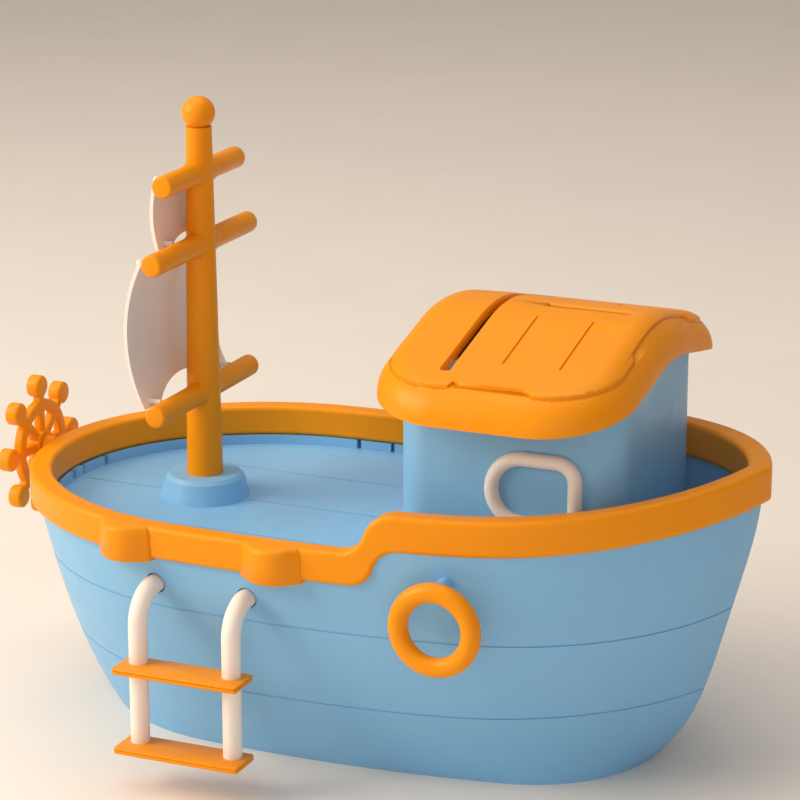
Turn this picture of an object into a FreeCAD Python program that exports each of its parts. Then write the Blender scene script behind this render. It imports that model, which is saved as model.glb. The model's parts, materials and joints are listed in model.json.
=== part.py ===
"""Boat-shaped money box: moulded hull, gunwale rim, deck, cabin with a lift-off roof, mast and trim.

Frame: +X towards the prow, +Y towards port, +Z up. The origin is on the hull's flat underside,
on the centre plane, halfway along the gunwale rim. All sizes are in millimetres.
"""
import FreeCAD, Part
import math
import os

import Sketcher
from FreeCAD import Placement, Rotation, Vector

SIZES = {
    # gunwale rim, seen from above: one closed outline of tangent arcs
    "rim_stern": -124.8, "rim_prow": 124.9, "rim_beam": 74.2, "rim_width": 7.5,
    "beam_station": -20.1, "side_radius": 419.7, "base_fullness": 1.66,
    # gunwale rim, seen from the side
    "rim_low": 81.4, "rim_high": 94.6, "step_start": 11.0, "step_end": 29.0,
    "rim_low_depth": 10.2, "rim_high_depth": 11.4, "underside_step_shift": 4.0,
    "bow_sheer_radius": 600.0, "rim_edge_radius": 1.5, "rim_cap": 2.6,
    # hull
    "hull_wall": 2.4, "hull_floor": 2.6, "plank_line_depth": 0.25, "plank_line_width": 0.7,
    "upper_plank_line": 54.0, "lower_plank_line": 25.8, "plank_sheer_radius": 9000.0,
    "ladder_hole_radius": 3.4, "axle_depth": 6.0,
    # deck
    "deck_top": 68.1, "deck_thickness": 2.0, "deck_gap": 0.2, "deck_lip": 2.0,
    "deck_groove_width": 0.6, "deck_groove_depth": 0.4, "deck_plank_width": 32.0,
    "boss_top_radius": 13.0, "boss_foot_radius": 14.8, "boss_height": 7.8, "boss_edge": 1.2,
    "socket_radius": 6.1, "socket_wall": 2.4, "socket_floor": 62.0, "socket_base": 2.0,
    "key_depth": 1.6, "key_half_width": 4.0, "key_height": 5.5, "key_gap": 0.3,
    "clip_length": 11.0, "clip_notch": 14.0, "clip_thickness": 1.2,
    # cabin and roof
    "cabin_aft": 15.2, "cabin_fore": 88.4, "cabin_half_width": 38.0, "cabin_corner": 11.0,
    "cabin_wall": 2.2, "roof_aft": 11.2, "roof_fore": 93.0, "roof_half_width": 62.0,
    "roof_corner": 27.0, "roof_ridge": 146.5, "roof_slope": 0.26, "roof_depth": 13.4,
    "eave_slope": 0.195,
    "roof_wall": 2.2, "roof_edge_radius": 11.0, "roof_inner_radius": 6.5, "ridge_radius": 65.0,
    "roof_clearance": 0.3, "roof_base": 110.0, "rib_wall": 1.8, "rib_drop": 5.0,
    "note_slot_station": 36.5, "note_slot_width": 2.6, "note_slot_half_length": 47.0,
    "coin_slot_aft": 51.1, "coin_slot_fore": 78.3, "coin_slot_width": 3.2,
    # mast, yards and sails
    "mast_station": -68.6, "mast_foot_radius": 6.0, "mast_top_radius": 4.2, "mast_foot_gap": 0.4,
    "mast_top": 192.0, "ball_radius": 5.4, "ball_centre": 196.4,
    "lower_yard": 103.8, "middle_yard": 153.4, "upper_yard": 177.0,
    "lower_yard_half": 34.8, "middle_yard_half": 35.2, "upper_yard_half": 26.7,
    "yard_root_radius": 4.0, "yard_tip_radius": 3.6, "yard_end_rounding": 1.0, "yard_straight": 6.5,
    "sail_thickness": 1.2, "lower_sail_offset": 6.5, "upper_sail_offset": 5.6,
    "lower_sail_bulge": 6.0, "upper_sail_bulge": 2.0,
    "lower_sail_half_width": 29.7, "upper_sail_half_width": 19.4,
    "lower_arch_half_width": 20.5, "lower_arch_rise": 5.6,
    "upper_arch_half_width": 12.5, "upper_arch_rise": 2.6,
    "pin_radius": 0.9, "pin_head_radius": 1.5, "pin_head_height": 0.9, "pin_inset": 5.0,
    # ship's wheel
    "wheel_station": -131.0, "wheel_height": 77.9, "wheel_thickness": 3.5, "wheel_hub_radius": 5.0,
    "wheel_ring_inner": 11.5, "wheel_ring_outer": 15.5, "spoke_width": 3.0, "knob_circle": 20.3,
    "knob_radius": 3.8, "axle_radius": 2.0, "axle_bore_radius": 2.05, "wheel_cap_radius": 3.8,
    # life ring
    "ring_station": 45.2, "ring_plane": -76.3, "ring_height": 63.0, "ring_radius": 11.7,
    "ring_tube": 3.05, "peg_radius": 2.2, "spigot_radius": 1.2, "spigot_bore_radius": 1.25,
    # ladder
    "rail_aft": -51.3, "rail_fore": -19.4, "rail_plane": -81.5, "rail_radius": 3.0,
    "rail_bend": 10.0, "rail_top": 62.0, "upper_rung": 40.2, "lower_rung": 14.0,
    "rung_thickness": 2.0, "rung_overhang": 5.3, "rung_front": 8.4, "rung_back": 4.4,
    # fender posts and window frames
    "post_aft": -60.8, "post_fore": -9.3, "post_half_width": 9.0, "post_depth": 5.5, "post_taper": 0.8,
    "post_drop": 1.0, "window_aft": 46.1, "window_fore": 77.5, "window_top": 109.2,
    "window_half_height": 12.4, "window_tube": 2.25, "window_corner": 6.0,
}

# heading at the end of the stern, quarter, midship and shoulder arcs, clockwise from +Y, in radians
OUTLINE_TURNS = (0.769, 1.501, math.pi / 2, 1.747)

# hull sections: height, stern, prow and half-beam
HULL_LEVELS = (
    (0.0, -98.3, 88.8, 44.5),
    (26.0, -111.0, 105.5, 58.5),
    (54.4, -118.0, 113.8, 68.7),
    (72.0, -121.9, 118.6, 72.3),
    (108.0, -123.2, 119.9, 73.0),
)

doc = FreeCAD.newDocument("BoatMoneyBox")
sheet = doc.addObject("Spreadsheet::Sheet", "Sizes")


def fill_sheet():
    """Write every driving dimension to the sheet under its own alias."""
    for row, (alias, value) in enumerate(SIZES.items(), start=1):
        sheet.set(f"A{row}", alias)
        sheet.set(f"B{row}", str(value))
        sheet.setAlias(f"B{row}", alias)
    doc.recompute()


def size(alias):
    """Return one driving dimension from the sheet."""
    return float(getattr(sheet, alias))


# ---------------------------------------------------------------- outlines

def outline_arcs(stern, prow, beam, inset=0.0, fullness=1.0):
    """Return the port half of a boat outline as (centre x, centre y, radius, start, end) arcs.

    The arcs run from stern to prow and meet tangentially. Angles are headings measured clockwise
    from +Y, so a point on an arc is centre + radius * (-cos, sin). A fullness above one makes the
    sides straighter and the bow blunter.
    """
    station = size("beam_station")
    side = fullness * size("side_radius") * beam / size("rim_beam")
    first, second, third, fourth = OUTLINE_TURNS
    # two linear equations: the stern and quarter arcs reach the midship arc at the right place
    run = station - stern - side * math.cos(second)
    rise = beam - side * (1 - math.sin(second))
    a11, a12 = 1 - math.cos(first), math.cos(first) - math.cos(second)
    a21, a22 = math.sin(first), math.sin(second) - math.sin(first)
    determinant = a11 * a22 - a12 * a21
    stern_radius = (run * a22 - rise * a12) / determinant
    quarter_radius = (rise * a11 - run * a21) / determinant
    arcs = []
    point = Vector(stern, 0, 0)
    heading = 0.0
    for radius, turn in ((stern_radius, first), (quarter_radius, second), (side, fourth)):
        outward = Vector(-math.cos(heading), math.sin(heading), 0)
        centre = point - outward * radius
        arcs.append((centre.x, centre.y, radius - inset, heading, turn))
        outward = Vector(-math.cos(turn), math.sin(turn), 0)
        point = centre + outward * radius
        heading = turn
    # the bow arc leaves the shoulder tangentially and passes through the prow
    chord = Vector(prow, 0, 0) - point
    bow_radius = -chord.Length ** 2 / (2 * chord.dot(outward))
    centre = point - outward * bow_radius
    end = math.pi - math.asin(-centre.y / (bow_radius - inset))
    arcs.append((centre.x, centre.y, bow_radius - inset, heading, end))
    return arcs


def outline_edges(stern, prow, beam, inset=0.0, fullness=1.0):
    """Return the closed outline as circle arcs at height zero, port side then starboard side."""
    port = []
    starboard = []
    arcs = outline_arcs(stern, prow, beam, inset, fullness)
    for centre_x, centre_y, radius, start, end in arcs:
        upper = Part.Circle(Vector(centre_x, centre_y, 0), Vector(0, 0, 1), radius)
        port.append(Part.ArcOfCircle(upper, math.pi - end, math.pi - start))
        lower = Part.Circle(Vector(centre_x, -centre_y, 0), Vector(0, 0, 1), radius)
        starboard.append(Part.ArcOfCircle(lower, math.pi + start, math.pi + end))
    return port + starboard[::-1]


def rim_edges(inset=0.0):
    """Return the gunwale rim's outline, moved inwards by inset."""
    return outline_edges(size("rim_stern"), size("rim_prow"), size("rim_beam"), inset)


def hull_level(height):
    """Return the hull's stern, prow and half-beam at a height, between its sections."""
    for (low, *lower), (high, *upper) in zip(HULL_LEVELS, HULL_LEVELS[1:]):
        if low <= height <= high:
            part = (height - low) / (high - low)
            return [a + (b - a) * part for a, b in zip(lower, upper)]
    raise ValueError(f"no hull section at {height}")


def rim_point(station, inset=0.0):
    """Return the starboard point of the rim's outline at a station and its outward direction."""
    for centre_x, centre_y, radius, start, end in outline_arcs(
            size("rim_stern"), size("rim_prow"), size("rim_beam"), inset):
        heading = math.acos(max(-1.0, min(1.0, (centre_x - station) / radius)))
        if start - 1e-6 <= heading <= end + 1e-6:
            outward = Vector(-math.cos(heading), -math.sin(heading), 0)
            return Vector(centre_x, -centre_y, 0) + outward * radius, outward
    raise ValueError(f"the rim has no point at {station}")


def sheer_edges(low, high, start, end, closing_height):
    """Return a closed side view: a low line, an S-shaped step, a rising bow line, then a frame.

    The frame closes the region at closing_height, above or below the line.
    """
    span, rise = end - start, high - low
    radius = (span ** 2 + rise ** 2) / (4 * rise)
    turn = math.asin(span / (2 * radius))
    bow = size("bow_sheer_radius")
    far_aft, far_fore = size("rim_stern") - 20, size("rim_prow") + 20
    fore_turn = math.asin((far_fore - end) / bow)
    fore_height = high + bow * (1 - math.cos(fore_turn))
    normal = Vector(0, 0, 1)
    lower = Part.Circle(Vector(start, low + radius, 0), normal, radius)
    upper = Part.Circle(Vector(end, high - radius, 0), normal, radius)
    rising = Part.Circle(Vector(end, high + bow, 0), normal, bow)
    quarter = math.pi / 2
    corners = [
        Vector(far_fore, fore_height, 0),
        Vector(far_fore, closing_height, 0),
        Vector(far_aft, closing_height, 0),
        Vector(far_aft, low, 0),
        Vector(start, low, 0),
    ]
    edges = [
        Part.ArcOfCircle(lower, 3 * quarter, 3 * quarter + turn),
        Part.ArcOfCircle(upper, quarter, quarter + turn),
        Part.ArcOfCircle(rising, 3 * quarter, 3 * quarter + fore_turn),
    ]
    edges += [Part.LineSegment(a, b) for a, b in zip(corners, corners[1:])]
    return edges


def rim_top_edges(drop, closing_height):
    """Return the rim's top line from the side, lowered by drop."""
    return sheer_edges(size("rim_low") - drop, size("rim_high") - drop,
                       size("step_start"), size("step_end"), closing_height)


def rim_underside_edges(closing_height):
    """Return the rim's lower line from the side."""
    shift = size("underside_step_shift")
    return sheer_edges(size("rim_low") - size("rim_low_depth"),
                       size("rim_high") - size("rim_high_depth"),
                       size("step_start") + shift, size("step_end") + shift / 2, closing_height)


def rounded_rectangle(left, right, low, high, corner):
    """Return a rectangle with round corners, as lines and arcs."""
    edges = []
    for x, y, turn in ((right, high, 0), (left, high, 1), (left, low, 2), (right, low, 3)):
        centre = Vector(x - corner if x == right else x + corner,
                        y - corner if y == high else y + corner, 0)
        circle = Part.Circle(centre, Vector(0, 0, 1), corner)
        edges.append(Part.ArcOfCircle(circle, turn * math.pi / 2, (turn + 1) * math.pi / 2))
    edges.append(Part.LineSegment(Vector(right - corner, high, 0), Vector(left + corner, high, 0)))
    edges.append(Part.LineSegment(Vector(left, high - corner, 0), Vector(left, low + corner, 0)))
    edges.append(Part.LineSegment(Vector(left + corner, low, 0), Vector(right - corner, low, 0)))
    edges.append(Part.LineSegment(Vector(right, low + corner, 0), Vector(right, high - corner, 0)))
    return edges


def polygon(points):
    """Return the closed polygon through points given as (x, y)."""
    vectors = [Vector(x, y, 0) for x, y in points]
    return [Part.LineSegment(a, b) for a, b in zip(vectors, vectors[1:] + vectors[:1])]


def circle(radius, x=0.0, y=0.0):
    """Return a full circle."""
    return [Part.Circle(Vector(x, y, 0), Vector(0, 0, 1), radius)]


# ---------------------------------------------------------------- features

def new_body(label, base=Vector(0, 0, 0), rotation=Rotation()):
    """Add an empty body with a placement of its own."""
    body = doc.addObject("PartDesign::Body", label)
    body.Label = label
    body.Placement = Placement(base, rotation)
    return body


def new_sketch(body, name, edges, role="XY_Plane", height=None):
    """Add a sketch on one of the body's own planes; height is an expression along its normal."""
    sketch = body.newObject("Sketcher::SketchObject", name)
    plane = next(f for f in body.Origin.OriginFeatures if f.Role == role)
    sketch.AttachmentSupport = [(plane, "")]
    sketch.MapMode = "FlatFace"
    sketch.addGeometry(edges, False)
    if height is not None:
        sketch.setExpression("AttachmentOffset.Base.z", height)
    return sketch


def pad(body, name, sketch, length, symmetric=False):
    """Extrude a sketch by an expression."""
    feature = body.newObject("PartDesign::Pad", name)
    feature.Profile = sketch
    feature.setExpression("Length", length)
    if symmetric:
        feature.SideType = "Symmetric"
    doc.recompute()
    return feature


def pocket(body, name, sketch, length, reverse=False, symmetric=False):
    """Cut a sketch by an expression and check that it removed material."""
    before = body.Shape.Volume
    feature = body.newObject("PartDesign::Pocket", name)
    feature.Profile = sketch
    feature.setExpression("Length", length)
    feature.Reversed = reverse
    if symmetric:
        feature.SideType = "Symmetric"
    doc.recompute()
    print(f"{body.Label}.{name}: {before:.0f} -> {body.Shape.Volume:.0f} mm3")
    return feature


def revolve(body, name, sketch, axis="V_Axis"):
    """Turn a sketch once round one of its own axes."""
    feature = body.newObject("PartDesign::Revolution", name)
    feature.Profile = sketch
    feature.ReferenceAxis = (sketch, [axis])
    doc.recompute()
    return feature


def round_edges(body, name, picker, radius):
    """Fillet the edges of the body's tip that picker accepts."""
    tip = body.Tip
    doc.recompute()
    names = [f"Edge{i}" for i, edge in enumerate(tip.Shape.Edges, start=1) if picker(edge)]
    fillet = body.newObject("PartDesign::Fillet", name)
    fillet.Base = (tip, names)
    fillet.setExpression("Radius", radius)
    doc.recompute()
    return fillet


def cut(label, base, tool):
    """Add the difference of two objects."""
    feature = doc.addObject("Part::Cut", label)
    feature.Label = label
    feature.Base = base
    feature.Tool = tool
    doc.recompute()
    return feature


def fuse(label, shapes):
    """Add the union of several objects."""
    feature = doc.addObject("Part::MultiFuse", label)
    feature.Shapes = shapes
    doc.recompute()
    return feature


def box(label, corner, lengths):
    """Add a plain box from its lowest corner."""
    feature = doc.addObject("Part::Box", label)
    feature.Length, feature.Width, feature.Height = lengths
    feature.Placement = Placement(corner, Rotation())
    return feature


def rod(label, radius, length, base, direction):
    """Add a cylinder whose radius is an expression, from base along direction."""
    feature = doc.addObject("Part::Cylinder", label)
    feature.Label = label
    feature.setExpression("Radius", radius)
    feature.Height = length
    feature.Placement = Placement(base, Rotation(Vector(0, 0, 1), direction))
    return feature


def along(edge, axis):
    """Tell whether an edge is straight and runs along an axis."""
    return edge.Curve.TypeId == "Part::GeomLine" and abs(edge.tangentAt(0).dot(axis)) > 0.999


# ---------------------------------------------------------------- hull and rim

def hull_loft(body, name, kind, inset, floor=0.0):
    """Loft the hull's sections, moved inwards by inset, in one body."""
    sketches = []
    for index, (height, stern, prow, beam) in enumerate(HULL_LEVELS):
        level = max(height, floor)
        fullness = size("base_fullness") if index == 0 else 1.0
        edges = outline_edges(stern + inset, prow - inset, beam - inset, fullness=fullness)
        sketch = new_sketch(body, f"{name}Section{index}", edges)
        sketch.AttachmentOffset = Placement(Vector(0, 0, level), Rotation())
        sketches.append(sketch)
    loft = body.newObject(kind, name)
    loft.Profile = sketches[0]
    loft.Sections = sketches[1:]
    doc.recompute()
    return loft


def plank_line(height):
    """Return the thin band, from the side, that a plank line cuts round the hull."""
    radius = size("plank_sheer_radius")
    half = size("plank_line_width") / 2
    reach = size("rim_prow") + 15
    sag = radius - math.sqrt(radius ** 2 - reach ** 2)
    ends = []
    for side in (-half, half):
        low = Vector(0, height + side, 0)
        aft = Vector(-reach, height + side + sag, 0)
        fore = Vector(reach, height + side + sag, 0)
        ends.append((aft, low, fore))
    (aft_low, mid_low, fore_low), (aft_high, mid_high, fore_high) = ends
    return [
        Part.Arc(aft_low, mid_low, fore_low),
        Part.LineSegment(fore_low, fore_high),
        Part.Arc(fore_high, mid_high, aft_high),
        Part.LineSegment(aft_high, aft_low),
    ]


def make_plank_tool():
    """Make the tool that engraves both plank lines: two bands less the hull's inset form."""
    core = new_body("plank_core")
    hull_loft(core, "Core", "PartDesign::AdditiveLoft", size("plank_line_depth"))
    bands = []
    for name, alias in (("upper", "upper_plank_line"), ("lower", "lower_plank_line")):
        band = new_body(f"{name}_band")
        sketch = new_sketch(band, "Band", plank_line(size(alias)), "XZ_Plane")
        pad(band, "BandPad", sketch, "Sizes.rim_beam * 2 + 20", symmetric=True)
        bands.append(band)
    return cut("plank_tool", fuse("plank_bands", bands), core)


def make_hull():
    """Make the hull: lofted outside and inside, cut to the rim's line, engraved and drilled."""
    body = new_body("hull_form")
    hull_loft(body, "Outside", "PartDesign::AdditiveLoft", 0.0)
    hull_loft(body, "Inside", "PartDesign::SubtractiveLoft", size("hull_wall"), size("hull_floor"))
    top = new_sketch(body, "TopLine", rim_top_edges(size("rim_cap"), 140.0), "XZ_Plane")
    pocket(body, "TopCut", top, "Sizes.rim_beam * 2 + 20", symmetric=True)
    tools = [make_plank_tool()]
    for name in ("aft", "fore"):
        base = Vector(size(f"rail_{name}"), -50, size("rail_top"))
        tools.append(rod(f"{name}_rail_hole", "Sizes.ladder_hole_radius", 40, base, Vector(0, -1, 0)))
    tools.append(make_peg_shank("peg_hole"))
    tools.append(make_axle_bore("hull_axle_hole"))
    return cut("hull_shell", body, fuse("hull_tools", tools))


def make_rim(hull):
    """Make the gunwale rim: the ring between two outlines, cut to its side view."""
    body = new_body("rim_form")
    ring = new_sketch(body, "Ring", rim_edges() + rim_edges(size("rim_width")))
    ring.AttachmentOffset = Placement(Vector(0, 0, 55), Rotation())
    pad(body, "RingPad", ring, "60")
    above = new_sketch(body, "TopLine", rim_top_edges(0.0, 140.0), "XZ_Plane")
    pocket(body, "TopCut", above, "Sizes.rim_beam * 2 + 20", symmetric=True)
    below = new_sketch(body, "UndersideLine", rim_underside_edges(30.0), "XZ_Plane")
    pocket(body, "UndersideCut", below, "Sizes.rim_beam * 2 + 20", symmetric=True)
    upright = Vector(0, 0, 1)
    round_edges(body, "RoundEdges",
                lambda edge: not along(edge, upright) and abs(edge.CenterOfMass.y) > 1,
                "Sizes.rim_edge_radius")
    drilled = cut("rim_drilled", body, hull)
    return cut("gunwale_rim", drilled, make_axle_bore("rim_axle_hole"))


def make_axle_bore(label):
    """Make the blind bore that holds the wheel's axle, from inside the rim outwards."""
    start = Vector(size("rim_stern") + size("axle_depth"), 0, size("wheel_height"))
    return rod(label, "Sizes.axle_radius", 20, start, Vector(-1, 0, 0))


def make_rim_prism():
    """Make the prism inside the rim's outline, which trims the fender posts to the rim's face."""
    body = new_body("rim_prism")
    outline = new_sketch(body, "Outline", rim_edges(), height="60")
    pad(body, "OutlinePad", outline, "40")
    return body


def make_post(name, prism):
    """Make one half-round fender post against the rim's outer face."""
    point, outward = rim_point(size(f"post_{name}"))
    angle = math.degrees(math.atan2(outward.y, outward.x)) + 90
    low = size("rim_low") - size("rim_low_depth") - size("post_drop")
    body = new_body(f"{name}_post_form", Vector(point.x, point.y, low),
                    Rotation(Vector(0, 0, 1), angle))
    sketches = []
    for index, (height, grow) in enumerate(((0.0, 1.0), (size("rim_low") - low, size("post_taper")))):
        ellipse = Part.Ellipse(Vector(0, 0, 0), size("post_half_width") * grow,
                               size("post_depth") * grow)
        sketch = new_sketch(body, f"Level{index}", [ellipse])
        sketch.AttachmentOffset = Placement(Vector(0, 0, height), Rotation())
        sketches.append(sketch)
    loft = body.newObject("PartDesign::AdditiveLoft", "Loft")
    loft.Profile = sketches[0]
    loft.Sections = sketches[1:]
    doc.recompute()
    return cut(f"fender_post_{name}", body, prism)


# ---------------------------------------------------------------- deck

def clip_places():
    """Return where the deck's snap clips stand: position and direction along the lip."""
    stern, prow, beam = hull_level(size("deck_top") - size("deck_thickness"))
    inset = size("hull_wall") + size("deck_gap")
    places = []
    for centre_x, centre_y, radius, start, end in outline_arcs(stern + inset, prow - inset, beam - inset):
        for heading in (0.16, 1.53):
            if start < heading <= end:
                x = centre_x - radius * math.cos(heading)
                y = centre_y + radius * math.sin(heading)
                places.append((Vector(x, y, 0), math.degrees(heading)))
                places.append((Vector(x, -y, 0), -math.degrees(heading)))
    return places


def make_deck():
    """Make the deck: plate, upstanding lip, mast boss with its socket, and plank grooves."""
    body = new_body("deck_form")
    stern, prow, beam = hull_level(size("deck_top") - size("deck_thickness"))
    inset = size("hull_wall") + size("deck_gap")
    outer = outline_edges(stern + inset, prow - inset, beam - inset)
    inner = outline_edges(stern + inset, prow - inset, beam - inset, size("deck_lip"))
    plate = new_sketch(body, "Plate", outer, height="Sizes.deck_top - Sizes.deck_thickness")
    pad(body, "PlatePad", plate, "Sizes.deck_thickness")
    lip = new_sketch(body, "Lip", outer + inner, height="Sizes.deck_top - 0.5")
    pad(body, "LipPad", lip, "Sizes.rim_low - Sizes.rim_low_depth - Sizes.deck_top + 0.5")
    well = new_sketch(body, "CabinWell", rounded_rectangle(
        size("cabin_aft") + size("cabin_wall"), size("cabin_fore") - size("cabin_wall"),
        size("cabin_wall") - size("cabin_half_width"), size("cabin_half_width") - size("cabin_wall"),
        size("cabin_corner") - size("cabin_wall")), height="Sizes.deck_top")
    pocket(body, "CabinWellCut", well, "Sizes.deck_thickness")
    hole = new_sketch(body, "MastHole", circle(size("socket_radius") + 1, size("mast_station")),
                      height="Sizes.deck_top")
    pocket(body, "MastHoleCut", hole, "Sizes.deck_thickness")
    tools = make_deck_grooves() + make_clip_notches()
    plate_and_boss = fuse("deck_and_boss", [body, make_boss()])
    return cut("deck_plate", plate_and_boss, fuse("deck_tools", tools))


def make_deck_grooves():
    """Make the tools for the lines between the deck's planks, clear of the boss and the cabin."""
    fore = size("cabin_aft") - 0.5
    boss = size("boss_foot_radius") + 0.5
    stern = size("rim_stern") + 12
    runs = [(0, stern, size("mast_station") - boss), (0, size("mast_station") + boss, fore),
            (-1, stern + 22, fore), (1, stern + 22, fore)]
    grooves = []
    for number, (plank, start, end) in enumerate(runs):
        corner = Vector(start, plank * size("deck_plank_width") - size("deck_groove_width") / 2,
                        size("deck_top") - size("deck_groove_depth"))
        grooves.append(box(f"groove_{number}", corner, (end - start, size("deck_groove_width"), 2)))
    return grooves


def make_clip_notches():
    """Make the tools that open the deck's lip round each snap clip."""
    notch = size("clip_notch")
    depth = size("deck_lip") * 2 + 2
    notches = []
    for index, (point, angle) in enumerate(clip_places()):
        tool = box(f"clip_notch_{index}", Vector(0, 0, 0), (depth, notch, 12))
        turn = Rotation(Vector(0, 0, 1), -angle)
        corner = point + turn.multVec(Vector(-1, -notch / 2, 0))
        tool.Placement = Placement(corner + Vector(0, 0, size("deck_top")), turn)
        notches.append(tool)
    return notches


def make_boss():
    """Make the mast boss and the socket under it, turned about the mast's axis."""
    body = new_body("boss_form", Vector(size("mast_station"), 0, 0))
    deck = size("deck_top")
    top = deck + size("boss_height")
    under = deck - size("deck_thickness")
    embedded = deck - 0.6
    floor = size("socket_floor")
    base = floor - size("socket_base")
    bore = size("socket_radius")
    cup = bore + size("socket_wall")
    collar = bore + 4.0
    foot = size("boss_foot_radius")
    edge = size("boss_edge")
    profile = polygon((
        (0, base), (cup, base), (cup, under), (collar, under), (collar, embedded), (foot, embedded),
        (foot, deck), (size("boss_top_radius"), top - edge), (size("boss_top_radius") - edge, top),
        (bore, top), (bore, floor), (0, floor),
    ))
    revolve(body, "Boss", new_sketch(body, "Profile", profile, "XZ_Plane"))
    side = size("key_half_width")
    key = new_sketch(body, "Key", rounded_rectangle(
        -bore - 0.5, size("key_depth") - bore, -side, side, size("key_gap")),
        height="Sizes.socket_floor - 0.5")
    pad(body, "KeyPad", key, "Sizes.key_height + 0.5")
    return body


def make_clips():
    """Make the four snap clips that hold the deck, all alike."""
    clips = []
    for index, (point, angle) in enumerate(clip_places()):
        clip = box(f"clip_{index}", Vector(0, 0, 0),
                   (size("clip_thickness"), size("clip_length"), 3.0))
        turn = Rotation(Vector(0, 0, 1), -angle)
        corner = point + turn.multVec(Vector(0.6, -size("clip_length") / 2, 0))
        clip.Placement = Placement(corner + Vector(0, 0, size("deck_top")), turn)
        clips.append(clip)
    group = doc.addObject("Part::Compound", "deck_clips")
    group.Label = "deck_clips"
    group.Links = clips
    return group


# ---------------------------------------------------------------- cabin and roof

def gable(drop, closing_height, slope_alias="roof_slope"):
    """Return the roof's end view: two slopes with a round ridge, lowered by drop, then a frame."""
    slope = math.atan(size(slope_alias))
    apex = size("roof_ridge") - drop
    radius = size("ridge_radius") - drop
    reach = size("roof_half_width") + 10
    centre = apex - radius / math.cos(slope)
    touch = Vector(radius * math.sin(slope), centre + radius * math.cos(slope), 0)
    mirror = Vector(-touch.x, touch.y, 0)
    eave = apex - reach * size(slope_alias)
    corners = [touch, Vector(reach, eave, 0), Vector(reach, closing_height, 0),
               Vector(-reach, closing_height, 0), Vector(-reach, eave, 0), mirror]
    edges = [Part.LineSegment(a, b) for a, b in zip(corners, corners[1:])]
    edges.append(Part.Arc(mirror, Vector(0, centre + radius, 0), touch))
    return edges


def roof_plan(inset):
    """Return the roof's plan, moved inwards by inset."""
    half = size("roof_half_width") - inset
    return rounded_rectangle(size("roof_aft") + inset, size("roof_fore") - inset, -half, half,
                             size("roof_corner") - inset)


def roof_block(label, inset, rounding, base="Sizes.roof_base"):
    """Make a block with the roof's plan and top, moved inwards by inset and rounded on top."""
    body = new_body(label)
    plan = new_sketch(body, "Plan", roof_plan(inset), height=base)
    pad(body, "PlanPad", plan, "100")
    top = new_sketch(body, "TopLine", gable(inset, 250.0), "YZ_Plane")
    pocket(body, "TopCut", top, "Sizes.roof_fore * 3", symmetric=True)
    lowest_top = size("roof_base") + 1

    def is_top_edge(edge):
        """Tell whether an edge is on the roof's upper perimeter."""
        middle = edge.CenterOfMass
        upright = along(edge, Vector(0, 0, 1))
        crossing = along(edge, Vector(1, 0, 0)) and abs(middle.y) < size("cabin_half_width")
        return middle.z > lowest_top and not upright and not crossing

    round_edges(body, "RoundTop", is_top_edge, rounding)
    return body


def make_roof():
    """Make the roof shell with its locating rib and both slots."""
    outer = roof_block("roof_outer", 0.0, "Sizes.roof_edge_radius")
    inner = roof_block("roof_inner", size("roof_wall"), "Sizes.roof_inner_radius")
    shell = cut("roof_hollow", outer, inner)
    trim_body = new_body("roof_trim")
    trim = new_sketch(trim_body, "LowerLine", gable(size("roof_depth"), 60.0, "eave_slope"), "YZ_Plane")
    pad(trim_body, "LowerPad", trim, "Sizes.roof_fore * 3", symmetric=True)
    shell = cut("roof_trimmed", shell, trim_body)
    slots = [
        box("note_slot", Vector(size("note_slot_station") - size("note_slot_width") / 2,
                                -size("note_slot_half_length"), size("roof_base")),
            (size("note_slot_width"), 2 * size("note_slot_half_length"), 50)),
        box("coin_slot", Vector(size("coin_slot_aft"), -size("coin_slot_width") / 2, size("roof_base")),
            (size("coin_slot_fore") - size("coin_slot_aft"), size("coin_slot_width"), 50)),
    ]
    return cut("cabin_roof", fuse("roof_with_rib", [shell, make_rib()]), fuse("roof_slots", slots))


def cabin_ring(inset, wall):
    """Return the cabin's plan, moved inwards by inset, as a ring of the given thickness."""
    edges = []
    for step in (inset, inset + wall):
        half = size("cabin_half_width") - step
        edges += rounded_rectangle(size("cabin_aft") + step, size("cabin_fore") - step, -half, half,
                                   size("cabin_corner") - step)
    return edges


def make_rib():
    """Make the rib under the roof that drops inside the cabin walls and centres the roof."""
    body = new_body("rib_form")
    gap = size("cabin_wall") + size("roof_clearance")
    ring = new_sketch(body, "Ring", cabin_ring(gap, size("rib_wall")), height="Sizes.roof_base")
    pad(body, "RingPad", ring, "50")
    above = new_sketch(body, "UpperLine", gable(size("roof_wall") - 0.3, 200.0), "YZ_Plane")
    pocket(body, "UpperCut", above, "Sizes.roof_fore * 3", symmetric=True)
    below = new_sketch(body, "LowerLine", gable(size("roof_wall") + size("rib_drop"), 60.0), "YZ_Plane")
    pocket(body, "LowerCut", below, "Sizes.roof_fore * 3", symmetric=True)
    return body


def make_cabin():
    """Make the cabin walls, open at the top and bottom, cut to the roof's underside."""
    body = new_body("cabin_form")
    ring = new_sketch(body, "Ring", cabin_ring(0.0, size("cabin_wall")), height="Sizes.deck_top")
    pad(body, "RingPad", ring, "Sizes.roof_ridge - Sizes.deck_top")
    drop = size("roof_wall") + size("roof_clearance")
    limit = roof_block("cabin_limit", drop, "Sizes.roof_inner_radius - Sizes.roof_clearance",
                       "Sizes.deck_top - 1")
    walls = doc.addObject("Part::Common", "cabin_walls")
    walls.Label = "cabin_walls"
    walls.Base = body
    walls.Tool = limit
    doc.recompute()
    return walls


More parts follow.
